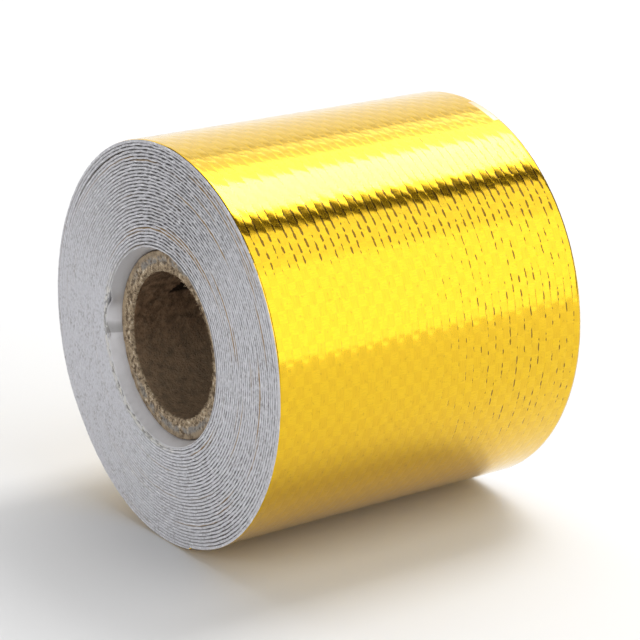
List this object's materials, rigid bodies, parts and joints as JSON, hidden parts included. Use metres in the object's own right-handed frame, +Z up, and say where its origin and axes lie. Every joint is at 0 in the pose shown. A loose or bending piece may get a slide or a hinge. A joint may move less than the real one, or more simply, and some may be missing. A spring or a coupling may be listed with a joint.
{
  "type": "exhaust heat wrap roll",
  "caption": "Roll of gold foil-faced woven glass-cloth heat wrap tape on a recessed brown paperboard core, lying on its side.",
  "frame": {"origin": "centre of the bounding box's bottom, under the roll as it lies on its side", "axes": "+X along the roll's axis, away from the end that faces the viewer; +Z up"},
  "size_m": [0.05, 0.0564, 0.0565],
  "materials": {
    "foil_faced_tape": "gold metallised foil over woven glass cloth",
    "liner": "glossy white silicone-coated release paper",
    "core": "matt brown spiral-wound paperboard"
  },
  "bodies": {
    "root": {"wound_tape": "foil_faced_tape", "release_liner": "liner", "paperboard_core": "core"}
  },
  "joints": []
}
